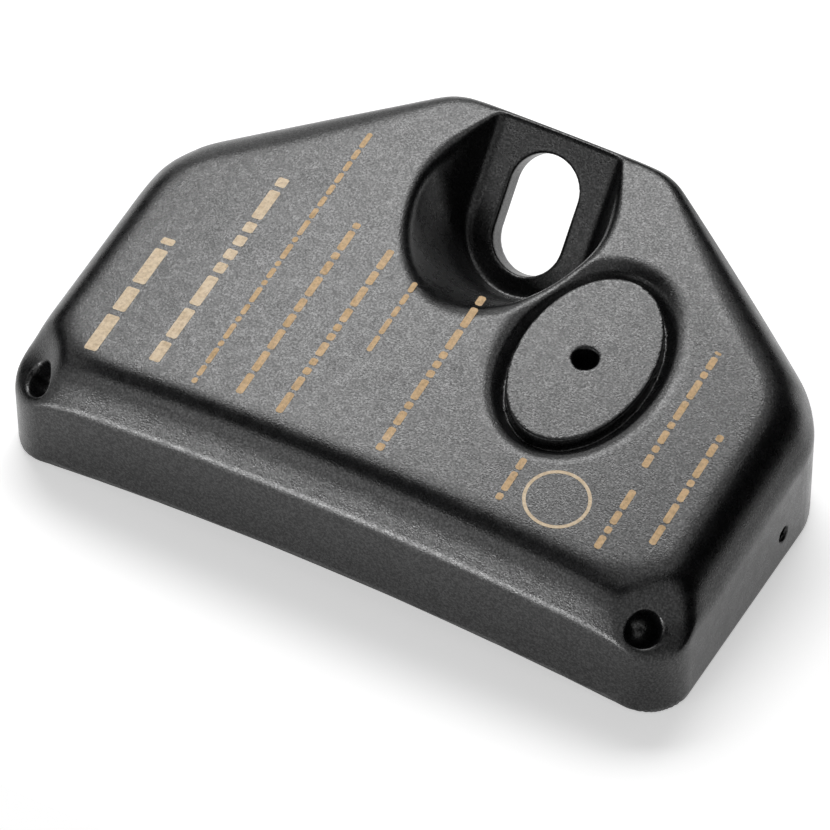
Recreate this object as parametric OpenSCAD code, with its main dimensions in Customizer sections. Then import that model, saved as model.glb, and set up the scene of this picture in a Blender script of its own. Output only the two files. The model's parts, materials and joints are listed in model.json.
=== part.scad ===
// Wheel electronics of a commercial vehicle: a tyre pressure sensor that is screwed to the valve.
// Lengths are in millimetres. X runs along the long front wall, Y towards the valve, Z up from the rim.
// Inside the modules Y counts from the front wall, and placed() moves each piece to the middle.

/* [Housing] */
// Length along the wheel rim
body_l = 54; // [52:0.5:58]
// Width from the long front wall to the short valve wall
body_w = 35; // [34:0.5:38]
// Length of each straight side wall
side_l = 24; // [22:0.5:25]
// Width of the short valve wall, between its virtual corners
far_w = 17.6; // [17:0.2:20]
// Radius of the two front corners
front_corner_r = 3.5; // [2.5:0.25:4.5]
// Radius of the two side corners
side_corner_r = 6.5; // [4:0.5:8]
// Radius of the two corners at the valve wall
far_corner_r = 5; // [3:0.5:5.5]
// Thickness of the side walls
wall = 1.4; // [1.2:0.1:1.8]
// Thickness of the top
top_wall = 1.8; // [1.5:0.1:2.2]
// Radius of the wheel rim that the base is arched for
rim_r = 209; // [180:1:260]

/* [Top] */
// Height of the top surface above the rim plane, at the front wall
front_h = 11.1; // [10.8:0.1:12.5]
// Rise of the top towards the valve, in degrees
top_slope = 6.6; // [5:0.1:8]
// Height of the plain wall at the front
front_wall_h = 4.9; // [4:0.1:6]
// Height of the plain wall at the side corners
side_wall_h = 7.3; // [6.5:0.1:8]
// Height of the plain wall at the valve
far_wall_h = 14.2; // [13:0.1:14.4]
// Width of the bevel along the front
front_bevel = 2; // [1.5:0.1:2.6]
// Width of the bevel along the sides
side_bevel = 3; // [2.4:0.1:3.6]
// Width of the bevel at the side corners
slant_bevel = 4.6; // [3.6:0.1:5]
// Width of the bevel at the far corners
far_corner_bevel = 1; // [0.6:0.1:1.6]
// Width of the bevel at the valve wall
far_bevel = 0.3; // [0.2:0.05:0.5]
// Inward bow of the slanted bevels
slant_bow = 0.5; // [0:0.1:0.8]
// Length by which each front corner of the top is cut off
corner_cut = 6.5; // [5:0.1:7.5]
// Fullness of the bevel: 0 is a flat chamfer, 1 a full round
bevel_fullness = 0.74; // [0.4:0.02:0.9]

/* [Screw recess] */
// Tilt of the slotted floor
floor_tilt = 50; // [46:1:54]
// Land between the floor's top edge and the valve wall
floor_land = 0.4; // [0.3:0.05:0.8]
// Width of the floor
floor_w = 9.6; // [9:0.1:10.4]
// Length of the floor down the slope
floor_l = 12.7; // [12:0.1:13.4]
// Width of the mouth
mouth_w = 14.2; // [13.4:0.1:15]
// Straight part of the mouth's side, down the slope
mouth_straight = 4.7; // [4:0.1:6]
// Height above the floor at which the mouth has its full width
flare_h = 6; // [5:0.1:7]
// Width of the screw slot
slot_w = 5.4; // [5.2:0.1:6]
// Length of the screw slot
slot_l = 9.1; // [8:0.1:9.5]
// Distance from the floor's top edge to the slot
slot_top = 1.9; // [1.8:0.1:2.4]
// Thickness of the plate that the screw clamps
slot_wall = 2; // [1.8:0.1:2.4]

/* [Valve seat] */
// Width of the pocket for the valve foot
seat_w = 13; // [12:0.1:13.4]
// Distance from the floor's top edge to the lower end of the pocket
seat_l = 12.4; // [11.6:0.1:12.8]
// Radius of the pocket's two lower corners
seat_corner_r = 2; // [1:0.5:5]

/* [Port island] */
// Place of the port, from the middle
port_x = 11.1; // [10.6:0.1:11.6]
// Place of the port, from the front wall
port_y = 17.4; // [16.8:0.1:17.8]
// Diameter of the pressure port
port_d = 2; // [1.6:0.1:2.4]
// Width of the oval island
island_w = 9.4; // [8.6:0.1:9.8]
// Length of the oval island
island_l = 15; // [13.6:0.1:15.4]
// Width of the moat around it
moat_w = 1.3; // [1:0.1:1.4]
// Depth of the moat
moat_d = 0.9; // [0.5:0.05:1]

/* [Holes] */
// Diameter of the blind hole in each front corner
corner_hole_d = 2.8; // [2.4:0.1:3.2]
// Depth of the corner hole
corner_hole_depth = 1.6; // [1:0.1:1.8]
// Distance of the corner hole from the end of the housing
corner_hole_in = 2.6; // [2.2:0.1:2.8]
// Distance of the corner hole from the front wall
corner_hole_y = 1.6; // [1.4:0.1:2]
// Height of the corner hole
corner_hole_z = 7.3; // [7:0.1:7.8]
// Tilt of the corner hole away from upright
corner_tilt = 45; // [42:1:48]
// Turn of the corner hole towards the front
corner_lean = 22; // [16:1:28]
// Radius of the round scoop at the mouth of the corner hole
scoop_r = 2.6; // [2.2:0.1:3.2]
// Diameter of the pinhole in the right side wall
pinhole_d = 1.2; // [0.8:0.1:1.6]
// Place of the pinhole, from the front wall
pinhole_y = 17.5; // [14:0.5:18]
// Height of the pinhole
pinhole_z = 2.9; // [2.2:0.1:4]

/* [Filling] */
// Depth of the potting below the arched rim of the housing
potting_recess = 0.8; // [0.4:0.1:1.2]

/* [Coin cell] */
// Diameter of the cell
cell_d = 20; // [18:0.5:20.5]
// Height of the cell
cell_h = 5; // [4:0.1:5]
// Height of the cell's underside above the rim plane
cell_z = 2.9; // [2.8:0.05:3]
// Thickness of the tabs
tab_t = 0.2; // [0.1:0.05:0.25]
// Width of the tabs
tab_w = 3; // [2:0.5:4]

/* [Circuit board] */
// Thickness of the board
board_t = 0.8; // [0.6:0.1:1]
// Height of the board's upper face
board_top = 6.8; // [6.6:0.1:6.9]
// Length of the board
board_l = 24; // [23:0.25:24.25]
// Width of the board
board_w = 19; // [18.6:0.1:19.4]

/* [Hidden] */
$fn = 48;

// Overlap of a cut with free space
past = 1;
// Reach of the valve pocket past the housing
seat_reach = 20;
half_l = body_l / 2;
half_far = far_w / 2;
// Steps of one rounded corner, and of each side between two corners
corner_steps = 4;
side_steps = [1, 3, 4, 3, 4, 3, 1, 10];
// Where the rings of the bevel lie between the plain wall and the top
bevel_steps = [0.15, 0.3, 0.5, 0.7, 0.85, 1];
// How far the inner rings of the top shrink towards its middle
top_rings = [0.72, 0.42, 0.16];
top_middle = [0, 0.42 * body_w];
// Radius of the corners where the cut meets the front and side edges of the top
cut_corner_r = 1.5;
// The top corner above each side corner is rounded a little tighter than the wall
top_corner_share = 0.8;
// The front corner is a little tighter than its radius, so that its two arcs stay apart
front_arc_share = 0.95;
// Share of the top's thickness by which the plain wall ends lower inside
inner_wall_drop = 0.6;
housing_colour = [0.13, 0.135, 0.14];
resin_colour = [0.05, 0.05, 0.055];
gold = [0.85, 0.68, 0.3];
steel = [0.72, 0.73, 0.75];
tin = [0.8, 0.8, 0.78];
copper = [0.75, 0.42, 0.22];
ferrite = [0.2, 0.19, 0.18];
moulding_black = [0.1, 0.1, 0.11];

// The inner parts are laid out for a housing 54 long, with 22 from its front wall to the recess. In
// another one they keep their places in proportion, and the board and the cell take the room there is.
recess_reach = 13;
kx = body_l / 54;
ky = (body_w - recess_reach) / 22;
port = laid([port_x, port_y]);

// Coin cell: the wide can faces the top, the cap faces the rim
cell_spot = laid([-13, 13.2]);
cell_r = cell_d / 2 * min(kx, ky);
cap_share = 0.83;
cap_r = cap_share * cell_r;
gasket_w = 0.5;
cap_step = 0.3;
cap_seat = 0.9;
cap_round = 0.25;
can_round = 0.8;
can_edge = 0.3;
positive_y = 15.6 * ky;
negative_y = 10.8 * ky;
tab_inner_x = -9.5 * kx;
positive_foot = [-2.2, -0.4] * kx;
negative_foot = [-1.4, 0.6] * kx;
fillet_l = 0.6;

// Circuit board
board_spot = laid([-2.4, 3.2]);
board_size = laid([board_l, board_w]);
board_bevel = 2.6;
board_corner = 1;
board_ear = 2.2;
board_ear_x = 9.5 * kx;

// Pressure sensor and its seal
package_size = [8.6, 6.2, 2.2];
lid_size = [7.8, 5.4, 0.3];
lid_hole_d = 1;
lead_count = 7;
lead_pitch = 1.1;
lead_w = 0.4;
lead_t = 0.2;
lead_out = 1.4;
lead_rise = 0.9;
lead_bend = 0.45;
seal_d = 4;
seal_bore = 2;

// Receiver coil
coil_spot = laid([4, 8]);
coil_size = [7.2, 2.6, 2.6];
coil_flange = 1.1;
coil_waist = 1.3;
coil_wire_d = 2.3;
terminal_t = 0.3;

// Antenna strip, standing on two legs
antenna_x = [1, 18] * kx;
antenna_y = 4.4 * ky;
antenna_z = [7.1, 8.4];
antenna_t = 0.4;
leg_w = 0.8;
leg_inset = 0.8;
leg_past = 0.5;
leg_bite = 0.1;
joint_d = 1.8;
joint_top_d = 1.1;

// Small parts: centre of each one on the board
crystal_spot = laid([17, 8]);
crystal_size = [3.2, 2.5, 0.5];
crystal_can_size = [2.8, 2.1, 0.35];
capacitor_spots = [for (p = [[0.6, 19.5], [2.2, 19.5], [3.8, 19.5], [18.2, 12.5], [19.8, 12.5],
    [18.2, 16], [19.8, 16], [12.4, 6.4]]) laid(p)];
capacitor_size = [0.8, 1.6, 0.8];
resistor_spots = [for (p = [[0.6, 16.6], [2.2, 16.6], [3.8, 16.6], [10.6, 6.4], [13, 9.6]]) laid(p)];
resistor_size = [0.8, 1.6, 0.45];
chip_end = 0.3;
inductor_spots = [for (p = [[18.3, 19.6], [20.2, 19.6]]) laid(p)];
inductor_size = [1.25, 2, 1.2];
inductor_flange = 0.4;
inductor_waist = 0.2;
inductor_slack = 0.05;
buffer_spot = laid([11.6, 8.6]);
buffer_size = [3.5, 2.8, 1.9];
buffer_end = 0.5;
transistor_spot = laid([4.2, 12.8]);
transistor_size = [2.9, 1.3, 0.9];
transistor_lift = 0.1;
transistor_lead_w = 0.4;
transistor_lead_out = 0.6;
transistor_lead_t = 0.15;
transistor_pitch = 1.9;

function unit(v) = v / norm(v);
function mix(a, b, t) = a + (b - a) * t;
function mirrored(p) = [-p[0], p[1]];
// A place of the drawn layout, in this housing
function laid(p) = [p[0] * kx, p[1] * ky];
// Where the line from p along d meets the line from q along e
function meet(p, d, q, e) = p + d * cross(e, q - p) / cross(e, d);

// Sag of the rim circle at a distance x from the middle
function sag(x) = rim_r - sqrt(rim_r * rim_r - x * x);
// Height of the arched rim over the plane that the two ends stand on
function arch(x) = sag(half_l - wall) - sag(min(abs(x), half_l - wall));
function top_z(p) = front_h + p[1] * tan(top_slope) - sag(p[0]);

// The eight corners of the outline, each side moved inwards by its own amount
function outline(front, side, slant_c, slant_d, far, cut) =
    let (
        along = unit([half_far - half_l, body_w - side_l]),
        out = [along[1], -along[0]],
        c_in = [half_l, side_l] - out * slant_c,
        d_in = [half_far, body_w] - out * slant_d,
        side_line = [half_l - side, 0],
        a = [half_l - cut, front],
        b = meet(a, [1, 1], side_line, [0, 1]),
        c = meet(side_line, [0, 1], c_in, d_in - c_in),
        d = meet(c_in, d_in - c_in, [0, body_w - far], [1, 0])
    )
    [a, b, c, d, mirrored(d), mirrored(c), mirrored(b), mirrored(a)];

function bend(a, b, c) = atan2(cross(unit(b - a), unit(c - b)), unit(b - a) * unit(c - b));

// Points of the rounded corner at b
function corner_arc(a, b, c, r) =
    let (
        u = unit(b - a),
        turn = bend(a, b, c),
        start = b - u * r * tan(turn / 2),
        centre = start + r * [-u[1], u[0]],
        from = atan2(u[1], u[0]) - 90
    )
    [for (k = [0:corner_steps])
        centre + r * [cos(from + turn * k / corner_steps), sin(from + turn * k / corner_steps)]];

// A closed ring of points: rounded corners, and sides that may bow inwards
function ring(v, r, bow) =
    let (
        n = len(v),
        arcs = [for (i = [0:n - 1]) corner_arc(v[(i + n - 1) % n], v[i], v[(i + 1) % n], r[i])]
    )
    [for (i = [0:n - 1])
        let (
            last = arcs[i][corner_steps],
            next = arcs[(i + 1) % n][0],
            inward = [-unit(next - last)[1], unit(next - last)[0]],
            steps = side_steps[i] + 1
        )
        each concat(arcs[i],
            [for (k = [1:steps - 1])
                mix(last, next, k / steps) + inward * bow[i] * sin(180 * k / steps)])];

// Height at which the plain wall ends and the bevel starts
function wall_end(p) =
    let (
        along_side = min(p[1] / side_l, 1),
        along_slant = max((p[1] - side_l) / (body_w - side_l), 0)
    )
    mix(front_wall_h, side_wall_h, along_side)
        + (far_wall_h - side_wall_h) * along_slant
        + arch(p[0]) * (1 - along_slant);

// Rings of the housing's form, moved inwards by inset and down by drop
function housing_rings(inset, drop, steps, inner, foot) =
    let (
        cut = inset + (front_corner_r - inset) * (2 - sqrt(2)),
        fr = (front_corner_r - inset) * front_arc_share,
        sr = side_corner_r - inset,
        er = far_corner_r - inset,
        wall_ring = ring(outline(inset, inset, inset, inset, inset, cut),
            [fr, fr, sr, er, er, sr, fr, fr], [0, 0, 0, 0, 0, 0, 0, 0]),
        edge_ring = ring(
            outline(front_bevel + inset, side_bevel + inset, slant_bevel + inset,
                far_corner_bevel + inset, far_bevel + inset, corner_cut + inset * (sqrt(2) - 1)),
            [cut_corner_r, cut_corner_r, sr * top_corner_share, er, er, sr * top_corner_share,
                cut_corner_r, cut_corner_r],
            [0, 0, slant_bow, 0, slant_bow, 0, 0, 0]),
        low = [for (p = wall_ring) [p[0], p[1], wall_end(p) - drop * inner_wall_drop]],
        high = [for (p = edge_ring) [p[0], p[1], top_z(p) - drop]],
        pull = [for (i = [0:len(low) - 1])
            mix((low[i] + high[i]) / 2, [low[i][0], low[i][1], high[i][2]], bevel_fullness)]
    )
    concat(
        [[for (p = wall_ring) [p[0], p[1], foot]], low],
        [for (t = steps) [for (i = [0:len(low) - 1])
            (1 - t) * (1 - t) * low[i] + 2 * t * (1 - t) * pull[i] + t * t * high[i]]],
        [for (k = inner) [for (p = edge_ring)
            let (q = mix(top_middle, p, k)) [q[0], q[1], top_z(q) - drop]]]);

// Triangles between a stack of closed rings of n points, numbered upwards
function bands(n, rings) =
    [for (k = [0:rings - 2], j = [0:n - 1])
        let (a = k * n + j, b = k * n + (j + 1) % n)
        each [[a, a + n, b + n], [a, b + n, b]]];

// A stack of rings closed by a flat fan below and a fan to the apex above
module domed(rings, apex) {
    n = len(rings[0]);
    m = len(rings);
    points = concat([for (r = rings) each r], [apex, [apex[0], apex[1], rings[0][0][2]]]);
    polyhedron(points, concat([for (j = [0:n - 1]) [j, (j + 1) % n, m * n + 1]], bands(n, m),
        [for (j = [0:n - 1]) [(m - 1) * n + (j + 1) % n, (m - 1) * n + j, m * n]]), convexity = 6);
}

module capped(rings) {
    n = len(rings[0]);
    m = len(rings);
    polyhedron([for (r = rings) each r], concat([[for (j = [0:n - 1]) j]], bands(n, m),
        [[for (j = [n - 1:-1:0]) (m - 1) * n + j]]), convexity = 6);
}

// A closed tube: rings that follow each other around a loop
module looped(sections) {
    n = len(sections[0]);
    m = len(sections);
    polyhedron([for (s = sections) each s],
        [for (i = [0:m - 1], j = [0:n - 1])
            let (a = i * n + j, b = i * n + (j + 1) % n, c = ((i + 1) % m) * n + j,
                d = ((i + 1) % m) * n + (j + 1) % n)
            each [[a, d, c], [a, b, d]]], convexity = 6);
}

module placed() {
    translate([0, -body_w / 2, 0]) children();
}

module skin() {
    domed(housing_rings(0, 0, bevel_steps, top_rings, 0),
        [top_middle[0], top_middle[1], top_z(top_middle)]);
}

// Everything below the arched base, or below an arch that is higher by lift
module rim_form(lift) {
    translate([0, -past, sag(half_l - wall) - rim_r + lift])
        rotate([-90, 0, 0]) cylinder(r = rim_r, h = body_w + 2 * past, $fn = 720);
}

// The floor of the recess: local Y runs up the slope, local Z stands on it
floor_y = body_w - floor_land;
module on_floor() {
    translate([0, floor_y, top_z([0, floor_y])]) rotate([floor_tilt, 0, 0]) children();
}

mouth_steps = 18;
flare_steps = [0, 0.5, 1.2, 2.2, 3.6, flare_h, 3 * flare_h];
function flare(h) = 1 - pow(1 - min(h / flare_h, 1), 2);

// One outline of the recess at height h over its floor, wider all round by grow
function recess_ring(h, grow) =
    let (
        f = flare(max(h, 0)),
        half_w = mix(floor_w, mouth_w, f) / 2 + grow,
        straight = mix(floor_l - floor_w / 2, mouth_straight, f),
        end = floor_l - straight + grow
    )
    concat([[-half_w, floor_l / 2, h]],
        [for (k = [0:mouth_steps])
            [-half_w * cos(180 * k / mouth_steps), -straight - end * sin(180 * k / mouth_steps), h]],
        [[half_w, floor_l / 2, h]]);

module recess_form(grow) {
    on_floor()
        capped([for (h = flare_steps) recess_ring(h == 0 ? -grow : h, grow)]);
}

slot_middle = slot_top + slot_l / 2;
module slot_form(grow) {
    reach = slot_wall + past;
    on_floor() translate([0, -slot_middle, -reach]) linear_extrude(reach + past) {
        for (end = [-1, 1]) translate([0, end * (slot_l - slot_w) / 2]) circle(d = slot_w + 2 * grow);
        square([slot_w + 2 * grow, slot_l - slot_w], center = true);
    }
}

// The pocket lies under the plate and is open to the valve wall and to the rim
module seat_form(grow) {
    half_w = seat_w / 2 + grow;
    end = seat_l + grow;
    r = seat_corner_r + grow;
    on_floor() translate([0, 0, grow - slot_wall - seat_reach]) linear_extrude(seat_reach) {
        translate([-half_w, r - end]) square([2 * half_w, seat_reach + end]);
        translate([r - half_w, -end]) square([2 * (half_w - r), seat_reach]);
        for (side = [-1, 1]) translate([side * (half_w - r), r - end]) circle(r);
    }
}

// The scoop and the blind hole in a front corner, on the side given by hand
module corner_form(hand, grow) {
    translate([hand * (half_l - corner_hole_in), corner_hole_y, corner_hole_z])
        rotate([0, hand * corner_tilt, -hand * corner_lean]) {
            translate([0, 0, scoop_r]) sphere(r = scoop_r + grow);
            translate([0, 0, -corner_hole_depth - grow])
                cylinder(d = corner_hole_d + 2 * grow, h = corner_hole_depth + grow + past);
        }
}

moat_steps = 44;
// Section of the moat: share of its width outwards from the island, and of its depth
moat_section = [[0, 0.5], [0, -0.6], [0.2, -0.92], [0.5, -1], [0.8, -0.75], [1, -0.3], [1.15, 0.5]];
module moat_form() {
    looped([for (i = [0:moat_steps - 1])
        let (
            t = 360 * i / moat_steps,
            edge = [island_w / 2 * cos(t), island_l / 2 * sin(t)],
            out = unit([island_l * cos(t), island_w * sin(t)])
        )
        [for (s = moat_section)
            let (q = port + edge + out * moat_w * s[0])
            [q[0], q[1], top_z(q) + moat_d * s[1]]]]);
}

// Flat pad under the top that the port seal is pressed against
pad_d = 5.6;
pad_z = 10.55;
module port_pad() {
    translate([port[0], port[1], pad_z]) cylinder(d = pad_d, h = front_h - pad_z + past);
}

module cavity_form() {
    difference() {
        domed(housing_rings(wall, top_wall, [0.5, 1], [0.4], -past),
            [top_middle[0], top_middle[1], top_z(top_middle) - top_wall]);
        recess_form(wall);
        slot_form(wall);
        seat_form(wall);
        for (hand = [-1, 1]) corner_form(hand, wall);
        port_pad();
    }
}

module housing() {
    color(housing_colour) placed() difference() {
        skin();
        rim_form(0);
        cavity_form();
        recess_form(0);
        slot_form(0);
        seat_form(0);
        moat_form();
        for (hand = [-1, 1]) corner_form(hand, 0);
        translate([port[0], port[1], pad_z - past]) cylinder(d = port_d, h = body_w);
        translate([half_l - wall - past, pinhole_y, pinhole_z])
            rotate([0, 90, 0]) cylinder(d = pinhole_d, h = wall + 2 * past);
    }
}

// Resin that fills the housing from below and leaves the air channel free
module potting() {
    color(resin_colour) difference() {
        placed() difference() {
            cavity_form();
            rim_form(potting_recess);
            translate([port[0], port[1], sensor_top + lid_size[2]])
                cylinder(d = seal_d, h = pad_z - sensor_top);
            translate([port[0], port[1], sensor_top]) cylinder(d = lid_hole_d, h = lid_size[2] + past);
            coil_form();
            for (p = capacitor_spots) block(p, capacitor_size, board_top);
            for (p = resistor_spots) block(p, resistor_size, board_top);
            for (p = inductor_spots) inductor_form(p);
            block(buffer_spot, buffer_size, board_under - buffer_size[2]);
        }
        circuit_board();
        sensor_package();
        sensor_leads();
        sensor_lid();
        battery_can();
        battery_gasket();
        battery_cap();
        positive_tab();
        negative_tab();
        antenna_strip();
        crystal_can();
        crystal_base();
        transistor_body();
        transistor_leads();
        solder_joints();
    }
}

board_under = board_top - board_t;
sensor_top = board_top + package_size[2];

module circuit_board() {
    left = board_spot[0];
    front = board_spot[1];
    right = left + board_size[0];
    far = front + board_size[1];
    color([0.08, 0.3, 0.16]) placed() difference() {
        translate([0, 0, board_under]) linear_extrude(board_t) polygon([
            [left, front], [right - board_bevel, front], [right, front + board_bevel],
            [right, far - board_corner], [right - board_bevel, far + board_ear],
            [board_ear_x, far + board_ear], [board_ear_x - board_ear, far], [left, far]]);
        antenna_legs(board_under - past);
    }
}

// A box that stands on height z, centred over the spot
module block(spot, size, z) {
    translate([spot[0] - size[0] / 2, spot[1] - size[1] / 2, z]) cube(size);
}

module sensor_package() {
    color([0.16, 0.16, 0.17]) placed() block(port, package_size, board_top);
}

// One bent lead in the plane of its side, from the package down to the board
module lead_form(reach, rise, thick, width) {
    bend = reach * lead_bend;
    rotate([90, 0, 90]) translate([0, 0, -width / 2]) linear_extrude(width) polygon([
        [0, rise], [0, rise + thick], [bend + thick, rise + thick], [bend + thick, thick],
        [reach, thick], [reach, 0], [bend, 0], [bend, rise]]);
}

module sensor_leads() {
    color(tin) placed() for (i = [0:lead_count - 1], side = [-1, 1])
        translate([port[0] + (i - (lead_count - 1) / 2) * lead_pitch,
                port[1] + side * package_size[1] / 2, board_top])
            turned_to(side) lead_form(lead_out, lead_rise, lead_t, lead_w);
}

module turned_to(side) {
    rotate([0, 0, side > 0 ? 0 : 180]) children();
}

module sensor_lid() {
    color(steel) placed() difference() {
        block(port, lid_size, sensor_top);
        translate([port[0], port[1], sensor_top - past])
            cylinder(d = lid_hole_d, h = lid_size[2] + 2 * past);
    }
}

module port_seal() {
    foot = sensor_top + lid_size[2];
    color([0.55, 0.24, 0.2]) placed() translate([port[0], port[1], foot]) difference() {
        cylinder(d = seal_d, h = pad_z - foot);
        translate([0, 0, -past]) cylinder(d = seal_bore, h = pad_z - foot + 2 * past);
    }
}

module at_cell() {
    translate([cell_spot[0], cell_spot[1], cell_z]) children();
}

module battery_can() {
    bore_r = cap_r + gasket_w;
    color(steel) placed() at_cell() rotate_extrude($fn = 96) polygon(concat(
        [[0, cap_step + cap_seat], [bore_r, cap_step + cap_seat], [bore_r, cap_step],
            [cell_r - can_edge, cap_step], [cell_r, cap_step + can_edge]],
        [for (a = [0:15:90])
            [cell_r - can_round + can_round * cos(a), cell_h - can_round + can_round * sin(a)]],
        [[0, cell_h]]));
}

module battery_gasket() {
    color([0.82, 0.8, 0.72]) placed() at_cell() translate([0, 0, cap_step]) difference() {
        cylinder(r = cap_r + gasket_w, h = cap_seat, $fn = 96);
        translate([0, 0, -past]) cylinder(r = cap_r, h = cap_seat + 2 * past, $fn = 96);
    }
}

module battery_cap() {
    color(steel) placed() at_cell() rotate_extrude($fn = 96) polygon([[0, 0], [cap_r - cap_round, 0],
        [cap_r, cap_round], [cap_r, cap_step + cap_seat], [0, cap_step + cap_seat]]);
}

// A strip bent along a path of [x, z] points that lies in the plane y
module strip(path, y) {
    translate([0, y + tab_w / 2, 0]) rotate([90, 0, 0]) linear_extrude(tab_w) polygon(path);
}

module positive_tab() {
    top = cell_z + cell_h;
    a = positive_foot[0];
    b = positive_foot[1];
    color([0.8, 0.79, 0.76]) placed() strip([[tab_inner_x, top], [tab_inner_x, top + tab_t],
        [a + tab_t, top + tab_t], [a + tab_t, board_top + tab_t], [b, board_top + tab_t], [b, board_top],
        [a, board_top], [a, top]], positive_y);
}

module negative_tab() {
    a = negative_foot[0];
    b = negative_foot[1];
    color([0.8, 0.79, 0.76]) placed() strip([[tab_inner_x, cell_z - tab_t], [tab_inner_x, cell_z],
        [a - tab_t, cell_z], [a - tab_t, board_under], [b, board_under], [b, board_under - tab_t],
        [a, board_under - tab_t], [a, cell_z - tab_t]], negative_y);
}

coil_foot = board_top + terminal_t;
coil_body_h = coil_size[2] - terminal_t;
coil_bare_l = coil_size[0] - 2 * coil_flange;

// The two ends of the coil: height h, standing on z
module coil_ends(h, z) {
    for (side = [-1, 1])
        block([coil_spot[0] + side * (coil_size[0] - coil_flange) / 2, coil_spot[1]],
            [coil_flange, coil_size[1], h], z);
}

// The square bar between the ends, and the round of the wire on it
module coil_bar(length) {
    block(coil_spot, [length, coil_waist, coil_waist], coil_foot + (coil_body_h - coil_waist) / 2);
}

module coil_round(length) {
    translate([coil_spot[0] - length / 2, coil_spot[1], coil_foot + coil_body_h / 2])
        rotate([0, 90, 0]) cylinder(d = coil_wire_d, h = length);
}

module coil_core() {
    color(ferrite) placed() {
        coil_ends(coil_body_h, coil_foot);
        coil_bar(coil_bare_l);
    }
}

module coil_winding() {
    color(copper) placed() difference() {
        coil_round(coil_bare_l);
        coil_bar(coil_size[0]);
    }
}

module coil_terminals() {
    color(tin) placed() coil_ends(terminal_t, board_top);
}

// The whole coil, as the resin closes around it
module coil_form() {
    coil_ends(coil_size[2], board_top);
    coil_round(coil_size[0] - coil_flange);
}

function leg_xs() = [antenna_x[0] + leg_inset, antenna_x[1] - leg_inset];

// The two legs of the antenna, from the height z up into its strip
module antenna_legs(z) {
    for (x = leg_xs())
        block([x, antenna_y], [leg_w, antenna_t, antenna_z[0] + leg_bite - z], z);
}

module antenna_strip() {
    length = antenna_x[1] - antenna_x[0];
    color(gold) placed() {
        block([antenna_x[0] + length / 2, antenna_y],
            [length, antenna_t, antenna_z[1] - antenna_z[0]], antenna_z[0]);
        antenna_legs(board_under - leg_past);
    }
}

module crystal_base() {
    color([0.75, 0.72, 0.65]) placed() block(crystal_spot, crystal_size, board_top);
}

module crystal_can() {
    color(steel) placed() block(crystal_spot, crystal_can_size, board_top + crystal_size[2]);
}

// Middles, or ends, of the small two-ended parts that lie along Y
module chip_middles(spots, size) {
    for (p = spots) block(p, [size[0], size[1] - 2 * chip_end, size[2]], board_top);
}

module chip_ends(spots, size) {
    for (p = spots, side = [-1, 1])
        block([p[0], p[1] + side * (size[1] - chip_end) / 2], [size[0], chip_end, size[2]], board_top);
}

module capacitor_bodies() {
    color([0.66, 0.52, 0.36]) placed() chip_middles(capacitor_spots, capacitor_size);
}

module capacitor_ends() {
    color(tin) placed() chip_ends(capacitor_spots, capacitor_size);
}

module resistor_bodies() {
    color(moulding_black) placed() chip_middles(resistor_spots, resistor_size);
}

module resistor_ends() {
    color(tin) placed() chip_ends(resistor_spots, resistor_size);
}

// Inductors stand on two flanges. Between these lies a bar that is smaller all round by step.
module inductor_ends(p) {
    for (side = [-1, 1])
        block([p[0], p[1] + side * (inductor_size[1] - inductor_flange) / 2],
            [inductor_size[0], inductor_flange, inductor_size[2]], board_top);
}

module inductor_bar(p, length, step) {
    block(p, [inductor_size[0] - 2 * step, length, inductor_size[2] - 2 * step], board_top + step);
}

module inductor_cores() {
    color(ferrite) placed() for (p = inductor_spots) {
        inductor_ends(p);
        inductor_bar(p, inductor_size[1] - inductor_flange, inductor_waist);
    }
}

module inductor_windings() {
    color(copper) placed() for (p = inductor_spots) difference() {
        inductor_bar(p, inductor_size[1] - 2 * inductor_flange, inductor_slack);
        inductor_bar(p, inductor_size[1], inductor_waist);
    }
}

// A whole inductor, as the resin closes around it
module inductor_form(p) {
    inductor_ends(p);
    inductor_bar(p, inductor_size[1] - inductor_flange, inductor_slack);
}

module buffer_capacitor() {
    color([0.78, 0.6, 0.25]) placed() block(buffer_spot,
        [buffer_size[0] - 2 * buffer_end, buffer_size[1], buffer_size[2]], board_under - buffer_size[2]);
}

module buffer_capacitor_ends() {
    color(tin) placed() for (side = [-1, 1])
        block([buffer_spot[0] + side * (buffer_size[0] - buffer_end) / 2, buffer_spot[1]],
            [buffer_end, buffer_size[1], buffer_size[2]], board_under - buffer_size[2]);
}

module transistor_body() {
    color(moulding_black) placed()
        block(transistor_spot, transistor_size, board_top + transistor_lift);
}

module transistor_leads() {
    rise = transistor_lift + transistor_size[2] / 2;
    color(tin) placed() for (lead = [[-0.5, -1], [0.5, -1], [0, 1]])
        translate([transistor_spot[0] + lead[0] * transistor_pitch,
                transistor_spot[1] + lead[1] * transistor_size[1] / 2, board_top])
            turned_to(lead[1])
                lead_form(transistor_lead_out, rise, transistor_lead_t, transistor_lead_w);
}

// Cones under the board around the antenna's legs, and wedges in front of the two tab feet
module solder_joints() {
    color([0.7, 0.71, 0.72]) placed() {
        difference() {
            for (x = leg_xs())
                translate([x, antenna_y, board_under - leg_past])
                    cylinder(d1 = joint_top_d, d2 = joint_d, h = leg_past);
            antenna_legs(board_under - leg_past - past);
        }
        wedge([positive_foot[1], board_top], tab_t, positive_y);
        wedge([negative_foot[1], board_under], -tab_t, negative_y);
    }
}

module wedge(foot, rise, y) {
    translate([0, y + tab_w / 2, 0]) rotate([90, 0, 0]) linear_extrude(tab_w)
        polygon([foot, foot + [fillet_l, 0], foot + [0, rise]]);
}

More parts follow.
